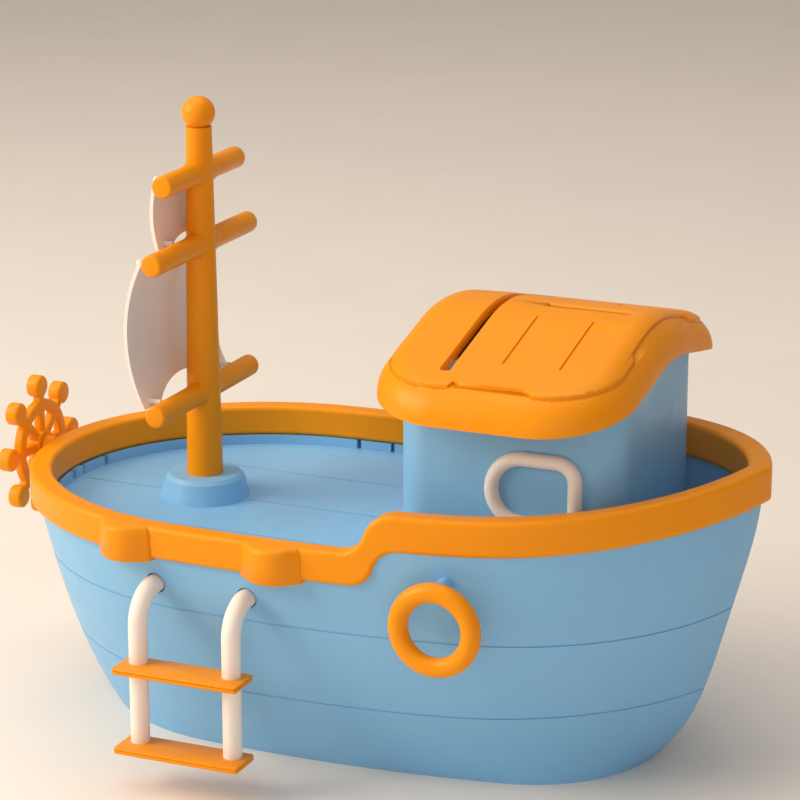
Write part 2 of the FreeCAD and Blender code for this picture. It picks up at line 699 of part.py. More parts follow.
def make_window(name, side):
    """Make one D-shaped window frame: a round bar swept along its outline, let into the wall."""
    tube = size("window_tube")
    half = size("window_half_height") - tube
    aft = size("window_aft") + tube
    fore = size("window_fore") - tube
    corner = size("window_corner")
    middle = size("window_top") - size("window_half_height")
    plane = side * (size("cabin_half_width") + tube - 1.4)
    body = new_body(f"{name}_frame_bar", Vector(0, plane, middle))
    normal = Vector(0, 0, 1)
    left = aft + half
    path_edges = [
        Part.ArcOfCircle(Part.Circle(Vector(left, 0, 0), normal, half), math.pi / 2, 3 * math.pi / 2),
        Part.LineSegment(Vector(left, -half, 0), Vector(fore - corner, -half, 0)),
        Part.ArcOfCircle(Part.Circle(Vector(fore - corner, corner - half, 0), normal, corner),
                         3 * math.pi / 2, 2 * math.pi),
        Part.LineSegment(Vector(fore, corner - half, 0), Vector(fore, half - corner, 0)),
        Part.ArcOfCircle(Part.Circle(Vector(fore - corner, half - corner, 0), normal, corner),
                         0, math.pi / 2),
        Part.LineSegment(Vector(fore - corner, half, 0), Vector(left, half, 0)),
    ]
    path = new_sketch(body, "Path", path_edges, "XZ_Plane")
    section = new_sketch(body, "Section", circle(tube, 0, half), "YZ_Plane")
    section.AttachmentOffset = Placement(Vector(0, 0, (left + fore - corner) / 2), Rotation())
    pipe = body.newObject("PartDesign::AdditivePipe", "Bar")
    pipe.Profile = section
    pipe.Spine = (path, [])
    doc.recompute()
    inner_side = box(f"{name}_wall_side", Vector(0, min(0, side * size("cabin_half_width")), 60),
                     (120, size("cabin_half_width"), 80))
    return cut(f"window_frame_{name}", body, inner_side)


# ---------------------------------------------------------------- mast, yards and sails

def make_mast():
    """Make the mast pole with its keyed foot and a bore for each yard."""
    body = new_body("mast_pole", Vector(size("mast_station"), 0, 0))
    foot = size("socket_floor") + size("mast_foot_gap")
    boss_top = size("deck_top") + size("boss_height")
    profile = polygon((
        (0, foot), (size("mast_foot_radius") - 0.6, foot), (size("mast_foot_radius"), foot + 0.6),
        (size("mast_foot_radius"), boss_top + 0.1), (size("mast_top_radius"), size("mast_top")),
        (0, size("mast_top")),
    ))
    revolve(body, "Pole", new_sketch(body, "Profile", profile, "XZ_Plane"))
    gap = size("key_gap")
    edge = size("key_depth") - size("socket_radius") + gap
    side = size("key_half_width") + gap
    flat = new_sketch(body, "Keyway", rounded_rectangle(-10, edge, -side, side, gap),
                      height="Sizes.socket_floor + Sizes.key_height + Sizes.key_gap")
    pocket(body, "KeywayCut", flat, "Sizes.key_height + 1")
    for name in ("lower", "middle", "upper"):
        bore = new_sketch(body, f"{name}Bore",
                          circle(size("yard_root_radius"), 0, size(f"{name}_yard")), "XZ_Plane")
        pocket(body, f"{name}BoreCut", bore, "30", symmetric=True)
    return body


def make_ball():
    """Make the ball at the masthead, flat where it meets the pole."""
    body = new_body("mast_ball", Vector(size("mast_station"), 0, 0))
    radius = size("ball_radius")
    centre = size("ball_centre")
    start = -math.acos(max(-1.0, (size("mast_top") - centre) / radius)) + math.pi / 2
    ball = Part.Circle(Vector(0, centre, 0), Vector(0, 0, 1), radius)
    low = Vector(radius * math.cos(start), centre + radius * math.sin(start), 0)
    edges = [
        Part.ArcOfCircle(ball, start, math.pi / 2),
        Part.LineSegment(Vector(0, centre + radius, 0), Vector(0, low.y, 0)),
        Part.LineSegment(Vector(0, low.y, 0), low),
    ]
    revolve(body, "Ball", new_sketch(body, "Profile", edges, "XZ_Plane"))
    return body


def make_yard(name):
    """Make one yard: a round bar through the mast, a little thinner at its ends."""
    body = new_body(f"yard_{name}", Vector(size("mast_station"), 0, size(f"{name}_yard")))
    half = size(f"{name}_yard_half")
    root = size("yard_root_radius")
    tip = size("yard_tip_radius")
    straight = size("yard_straight")
    rounding = size("yard_end_rounding")
    profile = polygon((
        (0, -half), (tip - rounding, -half), (tip, rounding - half), (root, -straight),
        (root, straight), (tip, half - rounding), (tip - rounding, half), (0, half),
    ))
    revolve(body, "Bar", new_sketch(body, "Profile", profile))
    return body


def sail_heights(name):
    """Return the lowest and highest point of a sail."""
    if name == "lower":
        return size("lower_yard") + 0.3, size("middle_yard") - 0.4
    return size("middle_yard") + 0.8, size("upper_yard") + 1.0


def pin_heights(name):
    """Return the heights of a sail's lower and upper pins."""
    if name == "lower":
        return size("lower_yard") + 2.2, size("middle_yard") - 2.2
    return size("middle_yard") + 2.6, size("upper_yard") - 0.9


def sail_centre_line(name):
    """Return the centre and radius of the arc that a sail follows from the side."""
    low, high = sail_heights(name)
    half = (high - low) / 2
    bulge = size(f"{name}_sail_bulge")
    radius = (half ** 2 + bulge ** 2) / (2 * bulge)
    return Vector(radius - size(f"{name}_sail_offset") - bulge, (low + high) / 2, 0), radius


def sail_distance(name, height):
    """Return how far behind the mast's axis a sail's middle surface is at a height."""
    centre, radius = sail_centre_line(name)
    return math.sqrt(radius ** 2 - (height - centre.y) ** 2) - centre.x


def make_sail(name):
    """Make one sail: a thin sheet bowed aft, arched at its foot and drilled for its pins."""
    body = new_body(f"sail_{name}", Vector(size("mast_station"), 0, 0))
    low, high = sail_heights(name)
    centre, radius = sail_centre_line(name)
    half_thickness = size("sail_thickness") / 2
    turn = math.asin((high - low) / 2 / radius)
    normal = Vector(0, 0, 1)
    outer = Part.Circle(centre, normal, radius + half_thickness)
    inner = Part.Circle(centre, normal, radius - half_thickness)
    start, end = math.pi - turn, math.pi + turn
    edges = [Part.ArcOfCircle(outer, start, end), Part.ArcOfCircle(inner, start, end)]
    for angle in (start, end):
        direction = Vector(math.cos(angle), math.sin(angle), 0)
        edges.append(Part.LineSegment(centre + direction * (radius - half_thickness),
                                      centre + direction * (radius + half_thickness)))
    sheet_sketch = new_sketch(body, "Sheet", edges, "XZ_Plane")
    pad(body, "SheetPad", sheet_sketch, f"Sizes.{name}_sail_half_width * 2", symmetric=True)
    half = size(f"{name}_arch_half_width")
    foot = low - 1
    top = low + size(f"{name}_arch_rise")
    arch = [Part.Arc(Vector(-half, foot, 0), Vector(0, top, 0), Vector(half, foot, 0)),
            Part.LineSegment(Vector(half, foot, 0), Vector(-half, foot, 0))]
    arch_sketch = new_sketch(body, "Arch", arch, "YZ_Plane")
    pocket(body, "ArchCut", arch_sketch, "60", symmetric=True)
    holes = []
    for height in pin_heights(name):
        for side in (-1, 1):
            holes += circle(size("pin_radius") + 0.02, side * pin_span(name), height)
    hole_sketch = new_sketch(body, "PinHoles", holes, "YZ_Plane")
    pocket(body, "PinHoleCut", hole_sketch, "60", symmetric=True)
    return body


def pin_span(name):
    """Return how far a sail's pins are from the centre plane."""
    return size(f"{name}_sail_half_width") - size("pin_inset")


def make_sail_pins():
    """Make the eight pins that hold the sails to the yards, all alike in section."""
    pins = []
    for name in ("lower", "upper"):
        low, high = pin_heights(name)
        for height, yard in ((low, "lower" if name == "lower" else "middle"),
                             (high, "middle" if name == "lower" else "upper")):
            for side in (-1, 1):
                pins.append(make_pin(name, yard, height, side * pin_span(name)))
    group = doc.addObject("Part::Compound", "sail_pins")
    group.Label = "sail_pins"
    group.Links = pins
    return group


def make_pin(name, yard, height, y):
    """Make one pin: a shank from the yard's back through the sail, with a head behind it."""
    root, tip = size("yard_root_radius"), size("yard_tip_radius")
    straight = size("yard_straight")
    taper = (abs(y) - straight) / (size(f"{yard}_yard_half") - size("yard_end_rounding") - straight)
    yard_radius = root + (tip - root) * taper
    embedded = 0.25
    head_gap = 0.9
    reach = math.sqrt(yard_radius ** 2 - (height - size(f"{yard}_yard")) ** 2) - embedded
    behind = sail_distance(name, height) + size("sail_thickness") / 2 + head_gap
    base = Vector(size("mast_station") - reach, y, height)
    aft = Vector(-1, 0, 0)
    tag = f"{name}_{yard}_{'port' if y > 0 else 'starboard'}"
    stem = rod(f"stem_{tag}", "Sizes.pin_radius", behind - reach + size("pin_head_height") / 2, base, aft)
    head = rod(f"head_{tag}", "Sizes.pin_head_radius", size("pin_head_height"),
               base + aft * (behind - reach), aft)
    return fuse(f"pin_{tag}", [stem, head])


# ---------------------------------------------------------------- wheel and life ring

def make_wheel():
    """Make the ship's wheel: hub, ring, and eight spokes that end in round knobs."""
    station = size("wheel_station")
    body = new_body("ship_wheel", Vector(station, 0, size("wheel_height")))
    thick = "Sizes.wheel_thickness"
    hub = new_sketch(body, "Hub", circle(size("wheel_hub_radius")), "YZ_Plane")
    pad(body, "HubPad", hub, thick + " + 1", symmetric=True)
    ring = new_sketch(body, "Ring", circle(size("wheel_ring_inner"))
                      + circle(size("wheel_ring_outer")), "YZ_Plane")
    spoke_half = size("spoke_width") / 2
    spoke_edges = polygon(((-spoke_half, 2), (spoke_half, 2),
                           (spoke_half, size("knob_circle")), (-spoke_half, size("knob_circle"))))
    spoke = new_sketch(body, "Spoke", spoke_edges, "YZ_Plane")
    knob = new_sketch(body, "Knob", circle(size("knob_radius"), 0, size("knob_circle")), "YZ_Plane")
    spoke_pad = pad(body, "SpokePad", spoke, thick + " - 0.5", symmetric=True)
    knob_pad = pad(body, "KnobPad", knob, thick, symmetric=True)
    pattern = body.newObject("PartDesign::PolarPattern", "Spokes")
    pattern.Originals = [spoke_pad, knob_pad]
    pattern.Axis = (hub, ["N_Axis"])
    pattern.Angle = 360
    pattern.Occurrences = 8
    body.Tip = pattern
    doc.recompute()
    pad(body, "RingPad", ring, thick + " - 0.5", symmetric=True)
    bore = new_sketch(body, "Bore", circle(size("axle_bore_radius")), "YZ_Plane")
    pocket(body, "BoreCut", bore, "20", symmetric=True)
    return body


def make_axle():
    """Make the wheel's axle, fixed in the rim's stern, with a collar behind the hub."""
    body = new_body("wheel_axle", Vector(0, 0, size("wheel_height")))
    radius = size("axle_radius")
    half_hub = (size("wheel_thickness") + 1) / 2
    back = size("wheel_station") + half_hub + 0.3
    front = size("wheel_station") - half_hub - 0.3
    start = size("rim_stern") + size("axle_depth")
    profile = polygon((
        (start, 0), (start, radius), (size("rim_stern"), radius), (size("rim_stern"), 3.4),
        (back, 3.4), (back, radius), (front - 1.6, radius), (front - 1.6, 0),
    ))
    revolve(body, "Axle", new_sketch(body, "Profile", profile), "H_Axis")
    return body


def make_wheel_cap():
    """Make the round cap on the axle's end that keeps the wheel on."""
    body = new_body("wheel_cap", Vector(0, 0, size("wheel_height")))
    radius = size("axle_radius")
    front = size("wheel_station") - (size("wheel_thickness") + 1) / 2 - 0.3
    cap = size("wheel_cap_radius")
    profile = polygon((
        (front, radius), (front, cap), (front - 1.4, cap), (front - 2.4, cap - 1.4),
        (front - 2.4, 0), (front - 1.6, 0), (front - 1.6, radius),
    ))
    revolve(body, "Cap", new_sketch(body, "Profile", profile), "H_Axis")
    return body


def make_peg_shank(label):
    """Make the peg's round shank, from inside the hull wall to the back of the life ring."""
    height = size("ring_height") + size("ring_radius")
    start = -62.5
    stop = size("ring_plane") + size("ring_tube") + 0.35
    return rod(label, "Sizes.peg_radius", start - stop, Vector(size("ring_station"), start, height),
               Vector(0, -1, 0))


def make_peg():
    """Make the peg that carries the life ring: a shank and a thinner spigot."""
    height = size("ring_height") + size("ring_radius")
    stop = size("ring_plane") + size("ring_tube") + 0.35
    spigot = rod("peg_spigot", "Sizes.spigot_radius", 2.9,
                 Vector(size("ring_station"), stop + 0.4, height), Vector(0, -1, 0))
    peg = fuse("ring_peg", [make_peg_shank("peg_shank"), spigot])
    peg.Label = "ring_peg"
    return peg


def make_life_ring():
    """Make the life ring: a round tube bent to a circle, with a blind hole for the spigot."""
    body = new_body("life_ring", Vector(size("ring_station"), size("ring_plane"), size("ring_height")))
    section = new_sketch(body, "Section", circle(size("ring_tube"), size("ring_radius"), 0))
    revolve(body, "Tube", section)
    hole = new_sketch(body, "Hole", circle(size("spigot_bore_radius"), 0, size("ring_radius")),
                      "XZ_Plane", "-0.5")
    pocket(body, "HoleCut", hole, "5")
    return body


# ---------------------------------------------------------------- ladder

def make_rail(name):
    """Make one ladder rail: a rod that rises, bends inboard and enters the hull."""
    station = size(f"rail_{name}")
    plane = size("rail_plane")
    bend = size("rail_bend")
    body = new_body(f"ladder_rail_{name}", Vector(station, 0, 0))
    foot = size("lower_rung") - size("rung_thickness") / 2
    top = size("rail_top")
    elbow = Part.Circle(Vector(plane + bend, top - bend, 0), Vector(0, 0, 1), bend)
    path = new_sketch(body, "Path", [
        Part.LineSegment(Vector(plane, foot, 0), Vector(plane, top - bend, 0)),
        Part.ArcOfCircle(elbow, math.pi / 2, math.pi),
        Part.LineSegment(Vector(plane + bend, top, 0), Vector(-63, top, 0)),
    ], "YZ_Plane")
    section = new_sketch(body, "Section", circle(size("rail_radius"), 0, plane))
    section.AttachmentOffset = Placement(Vector(0, 0, foot), Rotation())
    pipe = body.newObject("PartDesign::AdditivePipe", "Rod")
    pipe.Profile = section
    pipe.Spine = (path, [])
    doc.recompute()
    return body


def make_rung(name):
    """Make one rung: a flat board with a hole for each rail, blind in the lower rung."""
    body = new_body(f"ladder_rung_{name}")
    over = size("rung_overhang")
    plane = size("rail_plane")
    board = new_sketch(body, "Board", rounded_rectangle(
        size("rail_aft") - over, size("rail_fore") + over,
        plane - size("rung_front"), plane + size("rung_back"), 0.6),
        height=f"Sizes.{name}_rung - Sizes.rung_thickness")
    pad(body, "BoardPad", board, "Sizes.rung_thickness")
    holes = circle(size("rail_radius"), size("rail_aft"), plane)
    holes += circle(size("rail_radius"), size("rail_fore"), plane)
    depth = "Sizes.rung_thickness" if name == "upper" else "Sizes.rung_thickness / 2"
    hole_sketch = new_sketch(body, "RailHoles", holes, height=f"Sizes.{name}_rung")
    pocket(body, "RailHoleCut", hole_sketch, depth)
    return body


# ---------------------------------------------------------------- assembly

def build():
    """Build every piece and return them in the order they are written."""
    fill_sheet()
    hull = make_hull()
    prism = make_rim_prism()
    pieces = [
        hull, make_rim(hull), make_post("aft", prism), make_post("fore", prism),
        make_deck(), make_clips(), make_cabin(),
        make_window("starboard", -1), make_window("port", 1),
        make_roof(), make_mast(), make_ball(),
    ]
    pieces += [make_yard(name) for name in ("lower", "middle", "upper")]
    pieces += [make_sail(name) for name in ("lower", "upper")]
    pieces.append(make_sail_pins())
    pieces += [make_wheel(), make_axle(), make_wheel_cap(), make_peg(), make_life_ring()]
    pieces += [make_rail(name) for name in ("aft", "fore")]
    pieces += [make_rung(name) for name in ("lower", "upper")]
    return pieces


def check(pieces):
    """Stop if any object failed or any piece is empty or invalid."""
    doc.recompute()
    failed = [o.Name for o in doc.Objects if "Invalid" in o.State or "Error" in o.State]
    bad = [p.Label for p in pieces if p.Shape.isNull() or not p.Shape.isValid()]
    if failed or bad:
        raise RuntimeError(f"failed objects {failed}, bad pieces {bad}")


def export(pieces):
    """Write one file per piece, named after it."""
    os.makedirs("parts", exist_ok=True)
    for piece in pieces:
        shape = piece.Shape
        print(f"{piece.Label}: {shape.Volume:.0f} mm3, {len(shape.Solids)} solid(s)")
        shape.exportStep(f"parts/{piece.Label}.step")


parts = build()
check(parts)
export(parts)
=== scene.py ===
"""Boat-shaped money box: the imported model, detailed, dressed and lit for a studio picture."""
import json
import logging
import math
from dataclasses import dataclass, field
from enum import Enum
from typing import Callable, Iterable, Optional

import bpy
from mathutils import Matrix, Vector

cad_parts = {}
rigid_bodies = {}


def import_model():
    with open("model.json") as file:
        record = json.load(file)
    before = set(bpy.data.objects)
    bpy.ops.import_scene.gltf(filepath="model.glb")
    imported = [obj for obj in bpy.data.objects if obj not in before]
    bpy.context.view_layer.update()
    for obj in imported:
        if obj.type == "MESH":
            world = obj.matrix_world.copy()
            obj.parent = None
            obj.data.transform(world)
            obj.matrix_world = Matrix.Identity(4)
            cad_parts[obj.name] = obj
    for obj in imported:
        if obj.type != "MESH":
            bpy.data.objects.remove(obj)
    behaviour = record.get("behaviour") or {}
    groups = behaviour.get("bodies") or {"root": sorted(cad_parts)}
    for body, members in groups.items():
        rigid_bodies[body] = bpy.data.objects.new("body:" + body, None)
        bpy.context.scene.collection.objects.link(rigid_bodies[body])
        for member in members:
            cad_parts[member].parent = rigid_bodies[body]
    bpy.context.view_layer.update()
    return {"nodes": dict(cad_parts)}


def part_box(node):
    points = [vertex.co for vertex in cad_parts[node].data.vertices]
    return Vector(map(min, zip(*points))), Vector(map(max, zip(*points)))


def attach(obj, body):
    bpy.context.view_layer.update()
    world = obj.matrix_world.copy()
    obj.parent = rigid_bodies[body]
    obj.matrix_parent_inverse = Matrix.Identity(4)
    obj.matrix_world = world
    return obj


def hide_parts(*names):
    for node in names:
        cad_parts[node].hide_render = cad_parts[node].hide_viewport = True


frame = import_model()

MM = 0.001
LOG = logging.getLogger("money_box")
# how near, in millimetres, a point counts as lying on a plane or a line
TOUCH = 0.01
# the colour sockets of a mix node, which shares their names with its other kinds of socket
MIX_A, MIX_B, MIX_RESULT = 6, 7, 2


# ---------------------------------------------------------------- finishes

def linear(hex_colour: str) -> tuple[float, float, float, float]:
    """Turn an sRGB hex colour into linear values.

    Args:
        hex_colour: six hex digits.

    Returns:
        Linear red, green, blue and an alpha of one.
    """
    parts = [int(hex_colour[i:i + 2], 16) / 255 for i in (0, 2, 4)]
    values = [p / 12.92 if p <= 0.04045 else ((p + 0.055) / 1.055) ** 2.4 for p in parts]
    return values[0], values[1], values[2], 1.0


def add_node(tree: bpy.types.NodeTree, kind: str, values: Optional[dict] = None,
             links: Optional[dict] = None, **settings: object) -> bpy.types.Node:
    """Add one node with its values, links and settings.

    Args:
        tree: the node tree it goes into.
        kind: the node's type name.
        values: sockets, by name or number, with their constants.
        links: sockets, by name or number, with the outputs that feed them.
        settings: the node's own settings.

    Returns:
        The new node.
    """
    node = tree.nodes.new(kind)
    for name, value in settings.items():
        setattr(node, name, value)
    for socket, value in (values or {}).items():
        node.inputs[socket].default_value = value
    for socket, source in (links or {}).items():
        tree.links.new(source, node.inputs[socket])
    return node


def add_noise(tree: bpy.types.NodeTree, place: bpy.types.NodeSocket, size_mm: float,
              detail: float) -> bpy.types.NodeSocket:
    """Add a noise and return its value.

    Args:
        tree: the node tree.
        place: the coordinates to read.
        size_mm: the width of one feature, in millimetres.
        detail: how many finer layers lie over it.

    Returns:
        The noise's value.
    """
    values = {"Scale": 1 / (size_mm * MM), "Detail": detail, "Roughness": 0.5}
    return add_node(tree, "ShaderNodeTexNoise", values, {"Vector": place}).outputs[0]


def mix_colours(tree: bpy.types.NodeTree, factor: bpy.types.NodeSocket, first: object,
                second: str) -> bpy.types.NodeSocket:
    """Mix two colours by a factor.

    Args:
        tree: the node tree.
        factor: how much of the second colour shows.
        first: an sRGB hex colour, or the socket that gives the colour.
        second: an sRGB hex colour.

    Returns:
        The mixed colour.
    """
    node = add_node(tree, "ShaderNodeMix", {MIX_B: linear(second)}, {"Factor": factor},
                    data_type="RGBA")
    if isinstance(first, str):
        node.inputs[MIX_A].default_value = linear(first)
    else:
        tree.links.new(first, node.inputs[MIX_A])
    return node.outputs[MIX_RESULT]


def new_material(name: str) -> tuple[bpy.types.Material, bpy.types.Node, bpy.types.NodeSocket]:
    """Make a node material.

    Args:
        name: its name.

    Returns:
        The material, its shader and the object coordinates.
    """
    material = bpy.data.materials.new(name)
    material.use_nodes = True
    tree = material.node_tree
    place = add_node(tree, "ShaderNodeTexCoord").outputs["Object"]
    return material, tree.nodes["Principled BSDF"], place


class Slot(Enum):
    """The record's material slots."""

    BLUE = "blue_plastic"
    ORANGE = "orange_plastic"
    WHITE = "white_plastic"


class Body(Enum):
    """The moving bodies that new pieces ride on."""

    HULL = "hull"
    ROOF = "roof"
    MAST = "mast"
    WHEEL = "wheel"


@dataclass(frozen=True)
class MouldedPlastic:
    """Injection-moulded ABS with a fine spark-eroded mould texture.

    The eye gets a soft satin sheen, a faint cloudiness of the pigment and a surface that is
    never quite even, as on a toy that has been handled.
    """

    name: str
    colour: str
    cloud_colour: str
    worn_colour: str
    roughness: float = 0.38
    roughness_spread: float = 0.09
    subsurface: float = 0.06
    # ABS refracts at 1.53; pigment in it dulls the reflection
    refraction: float = 1.53
    shine: float = 0.35
    cloud_mm: float = 38.0
    scuff_mm: float = 7.6
    # the share of the scuff noise that shows as wear, and how strong the wear is
    scuff_range: tuple[float, float] = (0.58, 0.78)
    scuff_strength: float = 0.16
    # real spark-eroded grain is about 0.05 mm, too fine to show, so it is drawn at 0.55 mm
    grain_mm: float = 0.55
    grain_height_mm: float = 0.012
    # sink marks and mould waviness, a few centimetres across
    wave_mm: float = 22.0
    wave_height_mm: float = 0.06
    # how deep light enters the plastic, and how much less green and blue go in than red
    scatter_mm: float = 1.5
    scatter_colours: tuple[float, float, float] = (1.0, 0.6, 0.4)

    def build(self) -> bpy.types.Material:
        """Make the material.

        Returns:
            The material.
        """
        material, shader, place = new_material(self.name)
        tree = material.node_tree
        scuffs = add_noise(tree, place, self.scuff_mm, 4.0)
        tree.links.new(self.pigment(tree, place, scuffs), shader.inputs["Base Color"])
        tree.links.new(self.sheen(tree, scuffs), shader.inputs["Roughness"])
        tree.links.new(self.texture(tree, place), shader.inputs["Normal"])
        shader.inputs["IOR"].default_value = self.refraction
        shader.inputs["Specular IOR Level"].default_value = self.shine
        shader.inputs["Subsurface Weight"].default_value = self.subsurface
        shader.inputs["Subsurface Radius"].default_value = self.scatter_colours
        shader.inputs["Subsurface Scale"].default_value = self.scatter_mm * MM
        return material

    def pigment(self, tree: bpy.types.NodeTree, place: bpy.types.NodeSocket,
                scuffs: bpy.types.NodeSocket) -> bpy.types.NodeSocket:
        """Cloud the pigment faintly and lighten it where the toy is handled.

        Args:
            tree: the node tree.
            place: the coordinates to read.
            scuffs: the noise that places the wear.

        Returns:
            The colour.
        """
        clouds = add_noise(tree, place, self.cloud_mm, 3.0)
        tint = mix_colours(tree, clouds, self.colour, self.cloud_colour)
        low, high = self.scuff_range
        values = {"From Min": low, "From Max": high, "To Min": 0.0, "To Max": self.scuff_strength}
        wear = add_node(tree, "ShaderNodeMapRange", values, {"Value": scuffs})
        return mix_colours(tree, wear.outputs["Result"], tint, self.worn_colour)

    def sheen(self, tree: bpy.types.NodeTree, scuffs: bpy.types.NodeSocket) -> bpy.types.NodeSocket:
        """Vary the roughness with the wear.

        Args:
            tree: the node tree.
            scuffs: the noise that places the wear.

        Returns:
            The roughness.
        """
        values = {"From Min": 0.3, "From Max": 0.7, "To Min": self.roughness - self.roughness_spread,
                  "To Max": self.roughness + self.roughness_spread}
        return add_node(tree, "ShaderNodeMapRange", values, {"Value": scuffs}).outputs["Result"]

    def texture(self, tree: bpy.types.NodeTree, place: bpy.types.NodeSocket) -> bpy.types.NodeSocket:
        """Lay the mould's waviness and its fine grain over the surface.

        Args:
            tree: the node tree.
            place: the coordinates to read.

        Returns:
            The normal.
        """
        wave = add_noise(tree, place, self.wave_mm, 1.0)
        grain = add_noise(tree, place, self.grain_mm, 2.0)
        waviness = add_node(tree, "ShaderNodeBump",
                            {"Distance": self.wave_height_mm * MM, "Strength": 1.0}, {"Height": wave})
        fine = add_node(tree, "ShaderNodeBump",
                        {"Distance": self.grain_height_mm * MM, "Strength": 1.0},
                        {"Height": grain, "Normal": waviness.outputs["Normal"]})
        return fine.outputs["Normal"]


@dataclass(frozen=True)
class PaintedBoard:
    """Matt painted board, for the floor: a pale, warm and slightly mottled white."""

    name: str = "matt painted board"
    colour: str = "F0E9E2"
    mottle_colour: str = "EAE2DA"
    roughness: float = 0.7
    mottle_mm: float = 60.0

    def build(self) -> bpy.types.Material:
        """Make the material.

        Returns:
            The material.
        """
        material, shader, place = new_material(self.name)
        tree = material.node_tree
        mottle = add_noise(tree, place, self.mottle_mm, 4.0)
        colour = mix_colours(tree, mottle, self.colour, self.mottle_colour)
        tree.links.new(colour, shader.inputs["Base Color"])
        shader.inputs["Roughness"].default_value = self.roughness
        return material


@dataclass
class Palette:
    """The object's three plastics, made once and shared."""

    materials: dict[Slot, bpy.types.Material] = field(default_factory=dict)

    def __post_init__(self) -> None:
        """Make the three materials."""
        finishes = {
            Slot.BLUE: MouldedPlastic("moulded ABS, sky blue", "86BFEA", "7EB9E6", "9FCBEC"),
            Slot.ORANGE: MouldedPlastic("moulded ABS, warm orange", "F39800", "EE9000", "F6A30A",
                                        subsurface=0.02, shine=0.22),
            Slot.WHITE: MouldedPlastic("moulded ABS, warm white", "F4EDE6", "EFE6DE", "FAF6F1"),
        }
        for slot, finish in finishes.items():
            self.materials[slot] = finish.build()

    def dress(self, piece: bpy.types.Object, slot: Slot) -> None:
        """Give a piece one of the plastics."""
        piece.data.materials.clear()
        piece.data.materials.append(self.materials[slot])


# ---------------------------------------------------------------- modelling

class Axis(Enum):
    """The axis a cylinder lies along, with the turn that lays it there."""

    X = (0.0, math.pi / 2, 0.0)
    Y = (math.pi / 2, 0.0, 0.0)


class Element(Enum):
    """What is selected in edit mode."""

    VERTEX = "VERT"
    EDGE = "EDGE"


class Operation(Enum):
    """What a boolean does with the second mesh."""

    JOIN = "UNION"
    CUT = "DIFFERENCE"
    KEEP_COMMON = "INTERSECT"


Test = Callable[[Vector], bool]


